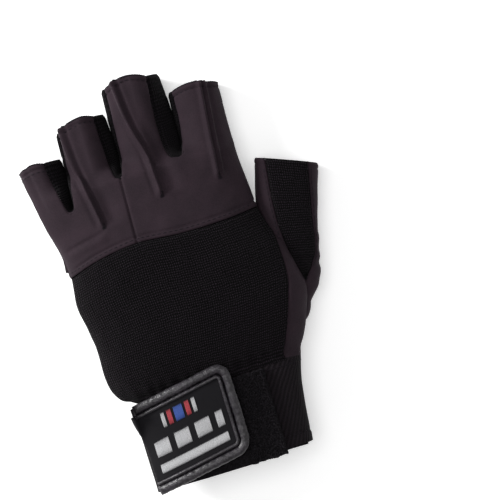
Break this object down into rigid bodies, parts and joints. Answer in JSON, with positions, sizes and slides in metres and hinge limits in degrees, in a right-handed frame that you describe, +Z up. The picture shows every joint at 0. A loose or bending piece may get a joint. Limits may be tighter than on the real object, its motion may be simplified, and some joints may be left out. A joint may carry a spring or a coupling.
{
  "type": "weightlifting glove",
  "caption": "Half-finger weightlifting glove for the left hand with a suede and knit back, a leather palm and a wrist strap that closes on a loop pad.",
  "frame": {"origin": "centre of the flat underside of the palm, on the surface that the glove rests on", "axes": "+Y to the fingertips, +Z up to the back of the hand, +X to the thumb"},
  "size_m": [0.1342, 0.1878, 0.034],
  "materials": {
    "suede": "brushed plum-black synthetic suede",
    "stretch_knit": "ribbed black stretch knit",
    "palm_leather": "grained dark grey leather",
    "elastic": "ribbed woven elastic",
    "loop_fabric": "fuzzy hook-and-loop pad",
    "woven_field": null,
    "binding_leather": "rolled black leather edge, slightly glossy"
  },
  "bodies": {
    "root": {"knuckle_panel": "suede", "knit_panel": "stretch_knit", "palm_leather": "palm_leather", "heel_panel": "suede", "fourchette_pinky_ring": "stretch_knit", "fourchette_ring_middle": "stretch_knit", "fourchette_middle_index": "stretch_knit", "tip_band_pinky": "suede", "tip_band_ring": "suede", "tip_band_middle": "suede", "tip_band_index": "suede", "thumb_panel": "suede", "thumb_knit": "stretch_knit", "wrist_cuff": "elastic", "loop_pad": "loop_fabric", "wrist_strap": "elastic", "strap_tab": "woven_field", "tab_binding": "binding_leather"}
  },
  "joints": []
}
